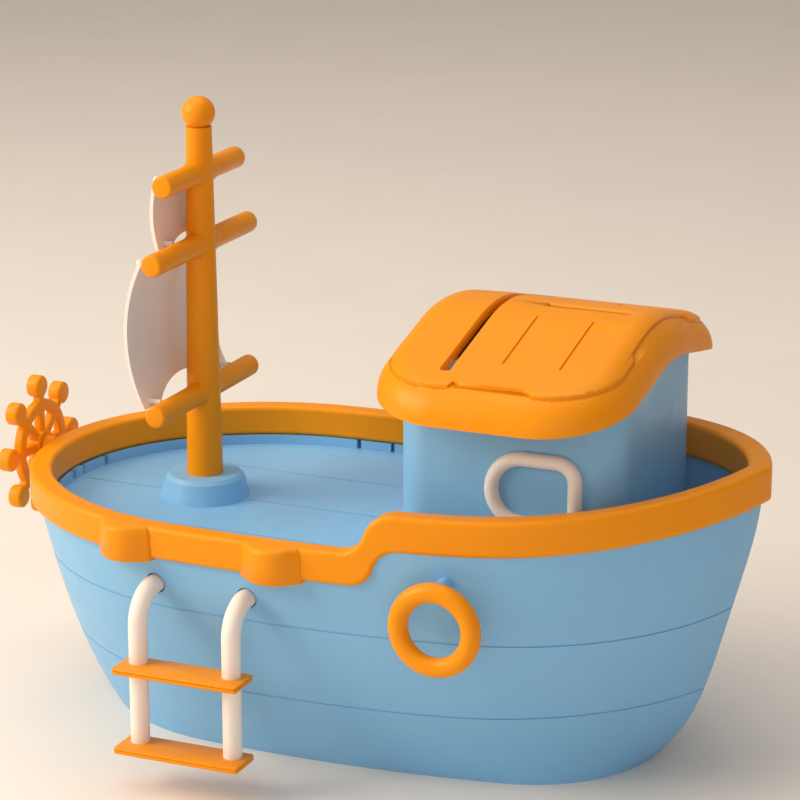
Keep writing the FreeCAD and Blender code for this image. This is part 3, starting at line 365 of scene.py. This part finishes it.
class Modeller:
    """Shapes one mesh with the same tools a person uses in edit mode."""

    merge_distance = 0.004
    flat_angle = 0.4
    soft_angle = 35.0

    def __init__(self, piece: bpy.types.Object) -> None:
        """Work on this piece."""
        self.piece = piece

    @staticmethod
    def clear_selection() -> None:
        """Deselect every object."""
        for other in bpy.context.view_layer.objects:
            other.select_set(False)

    @classmethod
    def cube(cls, centre: Vector, size: Vector) -> "Modeller":
        """Start from a box in millimetres.

        Args:
            centre: the box's centre.
            size: its lengths.

        Returns:
            A modeller for the new mesh.
        """
        cls.clear_selection()
        bpy.ops.mesh.primitive_cube_add(size=1, location=centre * MM)
        bpy.context.object.scale = size * MM
        return cls.placed()

    @classmethod
    def cylinder(cls, centre: Vector, radius: float, depth: float, along: Axis,
                 vertices: int = 48) -> "Modeller":
        """Start from a cylinder in millimetres.

        Args:
            centre: its centre.
            radius: its radius.
            depth: its length.
            along: the axis it lies along.
            vertices: the number of sides.

        Returns:
            A modeller for the new mesh.
        """
        cls.clear_selection()
        bpy.ops.mesh.primitive_cylinder_add(vertices=vertices, radius=radius * MM, depth=depth * MM,
                                            location=centre * MM, rotation=along.value)
        return cls.placed()

    @classmethod
    def placed(cls) -> "Modeller":
        """Move the active object's place, turn and scale into its mesh.

        Returns:
            A modeller for it.
        """
        piece = bpy.context.object
        bpy.ops.object.transform_apply(location=True, rotation=True, scale=True)
        return cls(piece)

    @classmethod
    def from_node(cls, node: str) -> "Modeller":
        """Start from a copy of a CAD node's mesh, with its loose triangles merged.

        Args:
            node: the CAD node's name.

        Returns:
            A modeller for the copy.
        """
        source = frame["nodes"][node]
        piece = bpy.data.objects.new(f"{node}_visual", source.data.copy())
        bpy.context.scene.collection.objects.link(piece)
        piece.matrix_world = source.matrix_world
        maker = cls(piece)
        maker.hold()
        bpy.ops.object.transform_apply(location=True, rotation=True, scale=True)

        def merge() -> None:
            """Merge the triangles' corners, then the triangles of each flat face."""
            bpy.ops.mesh.select_all(action="SELECT")
            bpy.ops.mesh.remove_doubles(threshold=cls.merge_distance * MM)
            bpy.ops.mesh.dissolve_limited(angle_limit=math.radians(cls.flat_angle))
        maker.edit(merge)
        return maker

    def hold(self) -> None:
        """Make this piece the only one selected."""
        self.clear_selection()
        bpy.context.view_layer.objects.active = self.piece
        self.piece.select_set(True)

    def edit(self, work: Callable[[], object], element: Element = Element.VERTEX) -> None:
        """Do some work in edit mode.

        Args:
            work: what to do.
            element: whether vertices or edges are selected.
        """
        self.hold()
        bpy.ops.object.mode_set(mode="EDIT")
        bpy.ops.mesh.select_mode(type=element.value)
        work()
        bpy.ops.object.mode_set(mode="OBJECT")

    def pick(self, wanted: Test, element: Element = Element.VERTEX) -> None:
        """Select the vertices, or the edges, whose middle a test accepts.

        Args:
            wanted: the test, given the middle in millimetres.
            element: whether vertices or edges are selected.
        """
        self.edit(lambda: bpy.ops.mesh.select_all(action="DESELECT"), element)
        mesh = self.piece.data
        if element is Element.VERTEX:
            for vertex in mesh.vertices:
                vertex.select = wanted(vertex.co / MM)
            return
        for edge in mesh.edges:
            first, second = (mesh.vertices[index].co / MM for index in edge.vertices)
            edge.select = wanted((first + second) / 2)

    def move(self, wanted: Test, shift: Vector) -> None:
        """Move the vertices that a test accepts by a shift in millimetres."""
        self.pick(wanted)
        self.edit(lambda: bpy.ops.transform.translate(value=shift * MM))

    def scale(self, wanted: Test, factors: Vector, centre: Vector) -> None:
        """Scale the vertices that a test accepts about a centre in millimetres."""
        self.pick(wanted)
        self.edit(lambda: bpy.ops.transform.resize(value=factors, center_override=centre * MM))

    def bisect(self, at: Vector, normal: Vector) -> None:
        """Cut a new loop of edges through the whole mesh at a plane.

        Args:
            at: a point of the plane, in millimetres.
            normal: the plane's normal.
        """
        def work() -> None:
            """Select everything and cut."""
            bpy.ops.mesh.select_all(action="SELECT")
            bpy.ops.mesh.bisect(plane_co=at * MM, plane_no=normal)
        self.edit(work)

    def bevel(self, wanted: Test, width: float, segments: int = 4) -> None:
        """Round the edges that a test accepts.

        Args:
            wanted: the test, given each edge's middle in millimetres.
            width: the bevel's width in millimetres.
            segments: its number of facets.
        """
        self.pick(wanted, Element.EDGE)
        self.edit(lambda: bpy.ops.mesh.bevel(offset=width * MM, segments=segments, affect="EDGES",
                                             clamp_overlap=True), Element.EDGE)

    def apply(self, kind: str, **settings: object) -> None:
        """Add a modifier and apply it at once.

        Args:
            kind: the modifier's type.
            settings: its settings.
        """
        self.hold()
        modifier = self.piece.modifiers.new(kind.title(), kind)
        for name, value in settings.items():
            setattr(modifier, name, value)
        bpy.ops.object.modifier_apply(modifier=modifier.name)

    def soften(self, width: float, segments: int) -> None:
        """Round every sharp edge by a width in millimetres."""
        self.apply("BEVEL", width=width * MM, segments=segments, limit_method="ANGLE",
                   angle_limit=math.radians(self.soft_angle))

    def combine(self, other: "Modeller", operation: Operation) -> None:
        """Join, cut or intersect with another closed mesh, which is used up."""
        self.apply("BOOLEAN", operation=operation.value, solver="EXACT", object=other.piece)
        bpy.data.objects.remove(other.piece)

    def copy(self) -> "Modeller":
        """Copy the piece.

        Returns:
            A modeller for a second piece with a mesh of its own.
        """
        twin = self.piece.copy()
        twin.data = self.piece.data.copy()
        bpy.context.scene.collection.objects.link(twin)
        return Modeller(twin)

    def transform(self, matrix: Matrix) -> None:
        """Carry the whole mesh by a matrix in metres."""
        self.piece.data.transform(matrix)

    def finish(self, name: str, body: Body, node: str, palette: Palette,
               sharp: float = 32.0) -> None:
        """Name, smooth, dress and attach an orange piece.

        Args:
            name: the piece's name.
            body: the moving body it rides on.
            node: the CAD node it stands for.
            palette: the plastics.
            sharp: edges under this angle are shaded smooth.
        """
        def recalculate() -> None:
            """Point all faces outwards."""
            bpy.ops.mesh.select_all(action="SELECT")
            bpy.ops.mesh.remove_doubles(threshold=self.merge_distance / 2 * MM)
            bpy.ops.mesh.normals_make_consistent(inside=False)
        self.edit(recalculate)
        self.hold()
        bpy.ops.object.shade_smooth_by_angle(angle=math.radians(sharp))
        self.piece.name = name
        self.piece.data.name = name
        palette.dress(self.piece, Slot.ORANGE)
        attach(self.piece, body.value)
        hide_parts(node)
        LOG.info("%s: %d faces on %s", name, len(self.piece.data.polygons), body.value)


# ---------------------------------------------------------------- cabin roof

@dataclass
class CabinRoof:
    """The lift-off roof: raised planked panel, engraved plank lines and softened slots."""

    palette: Palette
    slope: float = 0.26
    ridge: float = 146.5
    ridge_radius: float = 65.0
    # the raised panel: how high it stands, its outline, and the groove round its foot
    panel_rise: float = 0.85
    panel_aft: float = 15.6
    panel_fore: float = 88.8
    panel_half_width: float = 56.0
    panel_corner: float = 21.0
    panel_base: float = 125.0
    panel_height: float = 30.0
    groove_width: float = 0.5
    groove_depth: float = 0.35
    # where the boards' ends step along the eaves and along the front, and how far they step in
    eave_steps: tuple[tuple[float, float], ...] = (
        (40.6, 0.0), (41.6, 2.4), (42.8, 0.0), (44.0, -0.6), (63.4, 2.4), (64.8, 0.0), (66.0, 0.0))
    eave_start: float = 40.0
    front_steps: tuple[tuple[float, float], ...] = ((27.0, 0.0), (24.6, 1.5), (22.4, 0.0))
    front_start: float = 80.0
    # the engraved plank lines
    line_stations: tuple[float, float] = (52.5, 70.6)
    line_start: float = 11.0
    line_end: float = 41.0
    line_width: float = 0.8
    line_depth: float = 0.5
    line_rows: tuple[float, ...] = (14, 17, 25, 33)
    cutter_height: float = 2.0
    # the note slot's sloped lips
    note_slot: float = 36.5
    note_slot_end: float = 48.3
    lip_width: float = 4.4
    lip_foot_share: float = 0.58
    lip_height: float = 1.8
    lip_end_rounding: float = 1.2
    lip_rows: tuple[float, ...] = (-40, -30, -17, -12, -8, -4, 0, 4, 8, 12, 17, 30, 40)
    # the coin slot's eased edges
    coin_slot: tuple[float, float] = (50.5, 78.9)
    coin_mouth_width: float = 4.6
    coin_mouth_height: float = 1.4
    coin_foot_shares: tuple[float, float] = (0.98, 0.7)
    sharp: float = 28.0

    def top(self, y: float) -> float:
        """Return the height of the plain roof's top at a distance from the centre plane.

        Args:
            y: the distance, in millimetres.

        Returns:
            The height, in millimetres.
        """
        angle = math.atan(self.slope)
        reach = self.ridge_radius * math.sin(angle)
        if abs(y) >= reach:
            return self.ridge - self.slope * abs(y)
        centre = self.ridge - self.ridge_radius / math.cos(angle)
        return centre + math.sqrt(self.ridge_radius ** 2 - y ** 2)

    def panel_prism(self) -> Modeller:
        """Make the upright prism with the planked panel's outline.

        Returns:
            The prism.
        """
        middle = (self.panel_aft + self.panel_fore) / 2
        length = self.panel_fore - self.panel_aft
        prism = Modeller.cube(Vector((middle, 0, self.panel_base + self.panel_height / 2)),
                              Vector((length, 2 * self.panel_half_width, self.panel_height)))
        ends = (self.panel_aft, self.panel_fore)
        prism.bevel(lambda p: min(abs(p.x - end) for end in ends) < TOUCH
                    and abs(abs(p.y) - self.panel_half_width) < TOUCH, self.panel_corner, 12)
        for station, shift in self.eave_steps:
            prism.bisect(Vector((station, 0, 0)), Vector((1, 0, 0)))
            for side in (-1, 1):
                prism.move(lambda p: abs(p.x - station) < TOUCH and side * p.y > self.eave_start,
                           Vector((0, -side * shift, 0)))
        for y, shift in self.front_steps:
            for side in (-1, 1):
                prism.bisect(Vector((0, side * y, 0)), Vector((0, 1, 0)))
                prism.move(lambda p: abs(p.y - side * y) < TOUCH and p.x > self.front_start,
                           Vector((-shift, 0, 0)))
        return prism

    def panel_groove(self, roof: Modeller) -> Modeller:
        """Make the cutter for the fine groove that runs round the foot of the panel.

        Args:
            roof: the plain roof, whose lowered copy is the floor of the groove.

        Returns:
            The cutter.
        """
        middle = Vector(((self.panel_aft + self.panel_fore) / 2, 0, 0))
        grown = Vector((1 + self.groove_width / (self.panel_fore - middle.x),
                        1 + self.groove_width / self.panel_half_width, 1))
        ring = self.panel_prism()
        ring.scale(lambda p: True, grown, middle)
        ring.combine(self.panel_prism(), Operation.CUT)
        lowered = roof.copy()
        lowered.transform(Matrix.Translation(Vector((0, 0, -self.groove_depth * MM))))
        ring.combine(lowered, Operation.CUT)
        return ring

    def follow_top(self, bar: Modeller, rows: Iterable[float]) -> Modeller:
        """Bend a bar that lies along Y at height zero so that it follows the roof's top.

        Args:
            bar: the bar.
            rows: where it gets a new row of vertices.

        Returns:
            The same bar.
        """
        for y in rows:
            bar.bisect(Vector((0, y, 0)), Vector((0, 1, 0)))
        places = sorted({round(vertex.co.y / MM, 3) for vertex in bar.piece.data.vertices})
        for y in places:
            bar.move(lambda p: abs(p.y - y) < TOUCH / 5, Vector((0, 0, self.top(y))))
        return bar

    def plank_line(self, station: float, side: int) -> Modeller:
        """Make the cutter for one engraved plank line, with rounded ends.

        Args:
            station: where it lies along the roof.
            side: minus one for starboard, one for port.

        Returns:
            The cutter.
        """
        length = self.line_end - self.line_start
        middle = side * (self.line_start + self.line_end) / 2
        height = self.panel_rise - self.line_depth + self.cutter_height / 2
        bar = Modeller.cube(Vector((station, middle, height)),
                            Vector((self.line_width, length, self.cutter_height)))
        bar.bevel(lambda p: abs(abs(p.y - middle) - length / 2) < TOUCH, self.line_width / 3, 2)
        return self.follow_top(bar, [side * y for y in self.line_rows])

    def slot_mouth(self) -> Modeller:
        """Make the cutter that gives the note slot its sloped lips and round ends.

        Returns:
            The cutter.
        """
        bar = Modeller.cube(Vector((self.note_slot, 0, self.panel_rise)),
                            Vector((self.lip_width, 2 * self.note_slot_end, self.lip_height)))
        bar.scale(lambda p: p.z < 0, Vector((self.lip_foot_share, 1, 1)),
                  Vector((self.note_slot, 0, 0)))
        bar.bevel(lambda p: abs(abs(p.y) - self.note_slot_end) < TOUCH
                  and abs(p.x - self.note_slot) > self.lip_width / 8, self.lip_end_rounding)
        return self.follow_top(bar, self.lip_rows)

    def coin_mouth(self) -> Modeller:
        """Make the cutter that eases the coin slot's edges.

        Returns:
            The cutter.
        """
        aft, fore = self.coin_slot
        middle, level = (aft + fore) / 2, self.top(0) + self.panel_rise
        bar = Modeller.cube(Vector((middle, 0, level)),
                            Vector((fore - aft, self.coin_mouth_width, self.coin_mouth_height)))
        bar.scale(lambda p: p.z < level, Vector((*self.coin_foot_shares, 1)),
                  Vector((middle, 0, self.top(0))))
        slack = (fore - aft) / 70
        bar.bevel(lambda p: min(abs(p.x - aft), abs(p.x - fore)) < slack
                  and abs(p.y) > self.coin_mouth_width / 4, 1.0, 3)
        return bar

    def build(self) -> None:
        """Model, dress and attach the roof."""
        roof = Modeller.from_node("cabin_roof")
        groove = self.panel_groove(roof)
        panel = roof.copy()
        panel.transform(Matrix.Translation(Vector((0, 0, self.panel_rise * MM))))
        panel.combine(self.panel_prism(), Operation.KEEP_COMMON)
        roof.combine(panel, Operation.JOIN)
        for cutter in (groove, self.slot_mouth(), self.coin_mouth()):
            roof.combine(cutter, Operation.CUT)
        for station in self.line_stations:
            for side in (-1, 1):
                roof.combine(self.plank_line(station, side), Operation.CUT)
        roof.finish("roof_shell_planked", Body.ROOF, "cabin_roof", self.palette, self.sharp)


# ---------------------------------------------------------------- fender posts and ladder

@dataclass(frozen=True)
class RimArc:
    """One arc of the rim's outer edge, as its centre and radius."""

    centre: tuple[float, float]
    radius: float


@dataclass
class FenderPost:
    """One moulded post that swells out of the rim, rounded at its top and foot."""

    palette: Palette
    node: str
    station: float
    arc: RimArc
    top: float = 81.37
    taper: float = 0.93
    half_width: float = 10.5
    depth: float = 5.8
    # the powers that shape the swell: hollow where it leaves the rim, full in the middle
    swell_powers: tuple[float, float] = (2.3, 1.35)
    reach_in: float = 4.0
    columns: int = 28
    # how far down from the top, or up from the foot, each row lies and how much it draws in
    top_rows: tuple[tuple[float, float], ...] = ((0.0, 0.84), (0.3, 0.91), (0.9, 0.96), (1.8, 0.985))
    foot_rows: tuple[tuple[float, float], ...] = ((0.0, 0.93), (0.35, 0.975))
    sharp: float = 58.0

    def swell(self, x: float) -> float:
        """Return how far the post stands out from the rim at a distance from its middle."""
        inner, outer = self.swell_powers
        return self.depth * (1 - abs(x / self.half_width) ** inner) ** outer

    def swollen_block(self, foot: float) -> Modeller:
        """Make a block whose outer face, at minus Y, swells out along the swell curve.

        Args:
            foot: the height of its underside.

        Returns:
            The block, with its back at plus Y.
        """
        height = self.top - foot
        post = Modeller.cube(Vector((0, self.reach_in / 2, foot + height / 2)),
                             Vector((2 * self.half_width, self.reach_in, height)))
        step = 2 * self.half_width / self.columns
        stations = [step * index - self.half_width for index in range(1, self.columns)]
        for x in stations:
            post.bisect(Vector((x, 0, 0)), Vector((1, 0, 0)))
        for x in stations:
            post.move(lambda p: abs(p.x - x) < TOUCH and p.y < TOUCH, Vector((0, -self.swell(x), 0)))
        return post

    def build(self) -> None:
        """Model, dress and attach the post."""
        low = Vector(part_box(self.node)[0]) / MM
        post = self.swollen_block(low.z)
        back = Vector((0, self.reach_in, 0))
        for rows, edge, sign in ((self.top_rows, self.top, -1), (self.foot_rows, low.z, 1)):
            for rise, _ in rows[1:]:
                post.bisect(Vector((0, 0, edge + sign * rise)), Vector((0, 0, 1)))
            for rise, share in rows:
                post.scale(lambda p: abs(p.z - edge - sign * rise) < TOUCH,
                           Vector((share, share, 1)), back)
        waist = (low.z + self.top) / 2
        post.scale(lambda p: p.z > waist, Vector((self.taper, 1, 1)), back)
        centre = Vector((*self.arc.centre, 0))
        outward = (Vector((self.station, low.y + self.depth, 0)) - centre).normalized()
        turn = math.atan2(outward.y, outward.x) + math.pi / 2
        post.transform(Matrix.Translation((centre + outward * self.arc.radius) * MM)
                       @ Matrix.Rotation(turn, 4, "Z"))
        post.finish(f"{self.node}_moulded", Body.HULL, self.node, self.palette, self.sharp)


@dataclass
class LadderRung:
    """One flat board of the ladder, with rounded edges and a routed line round its rim."""

    palette: Palette
    node: str
    corner: float = 1.0
    edge: float = 0.35
    # the routed line: the heights of its edges and its floor over the middle, and its depth
    line_edges: tuple[float, float] = (0.35, 0.1)
    line_floor: float = 0.22
    line_depth: float = 0.35

    def build(self) -> None:
        """Model, dress and attach the rung."""
        low, high = (Vector(corner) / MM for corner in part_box(self.node))
        centre, size = (low + high) / 2, high - low
        board = Modeller.cube(centre, size)
        board.bevel(lambda p: abs(p.z - centre.z) < TOUCH, self.corner)
        for rise in (*self.line_edges, self.line_floor):
            board.bisect(Vector((0, 0, centre.z + rise)), Vector((0, 0, 1)))
        inner = Vector((1 - 2 * self.line_depth / size.x, 1 - 2 * self.line_depth / size.y, 1))
        board.scale(lambda p: abs(p.z - centre.z - self.line_floor) < TOUCH, inner, centre)
        board.bevel(lambda p: p.z > high.z - TOUCH or p.z < low.z + TOUCH, self.edge, 3)
        board.finish(f"{self.node}_board", Body.HULL, self.node, self.palette)


# ---------------------------------------------------------------- yards

@dataclass
class Yard:
    """One yard: a round bar that swells where it passes through the mast."""

    palette: Palette
    node: str
    root_radius: float = 4.0
    tip_radius: float = 3.6
    tip_rounding: float = 0.9
    # how far from the mast's middle each row lies and how much the bar grows there
    flare: tuple[tuple[float, float], ...] = ((8.4, 1.0), (7.3, 1.0168), (6.3, 1.063), (5.4, 1.14))
    sharp: float = 40.0

    def build(self) -> None:
        """Model, dress and attach the yard."""
        low, high = (Vector(corner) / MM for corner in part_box(self.node))
        centre = (low + high) / 2
        half = (high.y - low.y) / 2
        bar = Modeller.cylinder(centre, self.root_radius, 2 * half, Axis.Y)
        taper = self.tip_radius / self.root_radius
        bar.scale(lambda p: abs(p.y) > half - TOUCH, Vector((taper, 1, taper)), centre)
        for y, _ in self.flare:
            for side in (-1, 1):
                bar.bisect(Vector((0, side * y, 0)), Vector((0, 1, 0)))
        for y, grow in self.flare[1:]:
            bar.scale(lambda p: abs(abs(p.y) - y) < TOUCH, Vector((grow, 1, grow)), centre)
        bar.bevel(lambda p: abs(p.y) > half - TOUCH and (p - centre).length > half + TOUCH,
                  self.tip_rounding)
        bar.finish(f"{self.node}_turned", Body.MAST, self.node, self.palette, self.sharp)


# ---------------------------------------------------------------- wheel

@dataclass
class ShipWheel:
    """The ship's wheel: hub, ring, spokes and round knobs with softened edges."""

    palette: Palette
    thickness: float = 3.0
    ring_inner: float = 11.5
    ring_outer: float = 15.5
    ring_rounding: float = 0.7
    ring_sides: int = 96
    hub_radius: float = 5.0
    hub_rounding: float = 0.6
    bore_radius: float = 2.05
    # the cutters reach past the plastic they cut
    bore_length: float = 20.0
    hole_margin: float = 2.0
    spokes: int = 8
    spoke_width: float = 3.0
    spoke_start: float = 2.0
    spoke_rounding: float = 0.6
    knob_circle: float = 20.3
    knob_radius: float = 3.8
    knob_rounding: float = 0.9
    # the knobs are thicker than the ring, most of it away from the hull
    knob_thickness: float = 4.6
    knob_offset: float = 0.55
    small_sides: int = 32
    sharp: float = 40.0

    def make_disc(self, centre: Vector, radius: float, thickness: float, rounding: float,
                  segments: int, sides: int) -> Modeller:
        """Make a disc across X with rounded edges.

        Args:
            centre: its centre.
            radius: its radius.
            thickness: its thickness.
            rounding: the width of the rounding.
            segments: the rounding's number of facets.
            sides: the disc's number of sides.

        Returns:
            The disc.
        """
        disc = Modeller.cylinder(centre, radius, thickness, Axis.X, sides)
        disc.bevel(lambda p: abs(p.x - centre.x) > thickness / 2 - TOUCH
                   and (p - centre).yz.length > radius - 0.1, rounding, segments)
        return disc

    def make_ring(self, centre: Vector) -> Modeller:
        """Make the wheel's ring.

        Args:
            centre: its centre.

        Returns:
            The ring.
        """
        ring = Modeller.cylinder(centre, self.ring_outer, self.thickness, Axis.X, self.ring_sides)
        depth = self.thickness + self.hole_margin
        hole = Modeller.cylinder(centre, self.ring_inner, depth, Axis.X, self.ring_sides)
        ring.combine(hole, Operation.CUT)
        ring.soften(self.ring_rounding, 4)
        return ring

    def make_arm(self, centre: Vector) -> Modeller:
        """Make one spoke that points up, with its knob.

        Args:
            centre: the wheel's centre.

        Returns:
            The spoke and knob as one mesh.
        """
        length = self.knob_circle - self.spoke_start
        middle = centre + Vector((0, 0, self.spoke_start + length / 2))
        spoke = Modeller.cube(middle, Vector((self.thickness, self.spoke_width, length)))
        spoke.bevel(lambda p: abs(p.z - middle.z) < TOUCH, self.spoke_rounding, 3)
        end = centre + Vector((-self.knob_offset, 0, self.knob_circle))
        knob = self.make_disc(end, self.knob_radius, self.knob_thickness, self.knob_rounding, 4,
                              self.small_sides)
        spoke.combine(knob, Operation.JOIN)
        return spoke

    def build(self) -> None:
        """Model, dress and attach the wheel."""
        low, high = (Vector(corner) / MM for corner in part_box("ship_wheel"))
        centre = (low + high) / 2
        wheel = self.make_ring(centre)
        place = Matrix.Translation(centre * MM)
        for index in range(self.spokes):
            turn = Matrix.Rotation(2 * math.pi * index / self.spokes, 4, "X")
            arm = self.make_arm(centre)
            arm.transform(place @ turn @ place.inverted())
            wheel.combine(arm, Operation.JOIN)
        hub = self.make_disc(centre, self.hub_radius, high.x - low.x, self.hub_rounding, 3, 48)
        wheel.combine(hub, Operation.JOIN)
        bore = Modeller.cylinder(centre, self.bore_radius, self.bore_length, Axis.X,
                                 self.small_sides)
        wheel.combine(bore, Operation.CUT)
        wheel.finish("wheel_spoked", Body.WHEEL, "ship_wheel", self.palette, self.sharp)


# ---------------------------------------------------------------- carried-over nodes

@dataclass
class PlainNodes:
    """The CAD nodes whose shape is already right: they only get their finish."""

    palette: Palette
    finishes: dict[Slot, tuple[str, ...]] = field(default_factory=lambda: {
        Slot.BLUE: ("hull_shell", "deck_plate", "deck_clips", "cabin_walls", "ring_peg"),
        Slot.ORANGE: ("gunwale_rim", "mast_pole", "mast_ball", "life_ring", "wheel_axle", "wheel_cap"),
        Slot.WHITE: ("window_frame_starboard", "window_frame_port", "ladder_rail_aft",
                     "ladder_rail_fore", "sail_lower", "sail_upper", "sail_pins"),
    })

    def build(self) -> None:
        """Dress every carried-over node."""
        for slot, names in self.finishes.items():
            for name in names:
                self.palette.dress(frame["nodes"][name], slot)
                LOG.info("%s: %s", name, slot.value)


# ---------------------------------------------------------------- studio

@dataclass(frozen=True)
class SoftLight:
    """One square soft light that faces the object; metres and watts."""

    name: str
    place: tuple[float, float, float]
    size: float
    power: float
    colour: str
    aim: tuple[float, float, float] = (0.0, 0.0, 0.08)

    def build(self) -> None:
        """Make the light."""
        data = bpy.data.lights.new(self.name, "AREA")
        data.size = self.size
        data.energy = self.power
        data.color = linear(self.colour)[:3]
        light = bpy.data.objects.new(self.name, data)
        bpy.context.scene.collection.objects.link(light)
        light.location = self.place
        towards = Vector(self.aim) - Vector(self.place)
        light.rotation_euler = towards.to_track_quat("-Z", "Y").to_euler()


@dataclass
class Studio:
    """Pale floor with a swept-up back, soft key from the left, top light, fill and a warm room."""

    azimuth: float = 23.13
    elevation: float = 16.29
    distance: float = 0.960
    lens: float = 135.2
    sensor: float = 36.0
    target: tuple[float, float, float] = (0.0016, 0.0, 0.10856)
    lights: tuple[SoftLight, ...] = (
        SoftLight("key", (-0.95, -0.6, 0.75), 0.8, 15.0, "FFF0DA"),
        SoftLight("overhead", (-0.2, 0.1, 1.4), 1.3, 8.5, "FFF8F0"),
        SoftLight("fill", (0.5, -1.4, 0.5), 1.2, 4.0, "FFF4EA"),
    )
    room_colour: str = "F5EFE8"
    room_strength: float = 0.40
    # the floor, in metres: its side, the height of its back and the radius between them
    floor_side: float = 6.0
    back_height: float = 2.5
    sweep: float = 0.9

    def build(self) -> None:
        """Make the camera, the floor and the lights."""
        bpy.context.scene.view_settings.view_transform = "Standard"
        self.make_camera()
        self.make_floor()
        for light in self.lights:
            light.build()
        self.make_room()

    def make_camera(self) -> None:
        """Make the camera and aim it at the object."""
        azimuth, elevation = math.radians(self.azimuth), math.radians(self.elevation)
        back = Vector((math.sin(azimuth) * math.cos(elevation),
                       -math.cos(azimuth) * math.cos(elevation), math.sin(elevation)))
        data = bpy.data.cameras.new("camera")
        data.lens = self.lens
        data.sensor_width = self.sensor
        camera = bpy.data.objects.new("camera", data)
        bpy.context.scene.collection.objects.link(camera)
        camera.location = Vector(self.target) + back * self.distance
        camera.rotation_euler = (-back).to_track_quat("-Z", "Y").to_euler()
        bpy.context.scene.camera = camera

    def make_floor(self) -> None:
        """Make the floor and its swept-up back."""
        Modeller.clear_selection()
        bpy.ops.mesh.primitive_plane_add(size=self.floor_side, location=(0, 0, 0))
        floor = Modeller.placed()
        far = self.floor_side / 2 / MM - 1
        floor.pick(lambda p: p.y > far, Element.EDGE)
        floor.edit(lambda: bpy.ops.mesh.extrude_region_move(
            TRANSFORM_OT_translate={"value": (0, 0, self.back_height)}), Element.EDGE)
        floor.bevel(lambda p: p.y > far and p.z < 1, self.sweep / MM, 16)
        floor.hold()
        bpy.ops.object.shade_smooth_by_angle(angle=math.radians(40))
        floor.piece.name = "floor"
        floor.piece.data.materials.append(PaintedBoard().build())

    def make_room(self) -> None:
        """Give the room a soft, warm and even light."""
        world = bpy.data.worlds.new("warm room")
        bpy.context.scene.world = world
        world.use_nodes = True
        background = world.node_tree.nodes["Background"]
        background.inputs["Color"].default_value = linear(self.room_colour)
        background.inputs["Strength"].default_value = self.room_strength


def main() -> None:
    """Build every sub-assembly in order."""
    logging.basicConfig(level=logging.INFO, format="%(name)s: %(message)s")
    Studio().build()
    palette = Palette()
    PlainNodes(palette).build()
    CabinRoof(palette).build()
    # the rim's long quarter and its nearly straight side, where the two posts stand
    quarter, side = RimArc((-43.3, 13.6), 87.0), RimArc((-20.1, 345.5), 419.7)
    FenderPost(palette, "fender_post_aft", -60.8, quarter).build()
    FenderPost(palette, "fender_post_fore", -9.3, side).build()
    for node in ("ladder_rung_lower", "ladder_rung_upper"):
        LadderRung(palette, node).build()
    for node in ("yard_lower", "yard_middle", "yard_upper"):
        Yard(palette, node).build()
    ShipWheel(palette).build()


if __name__ == "__main__":
    main()
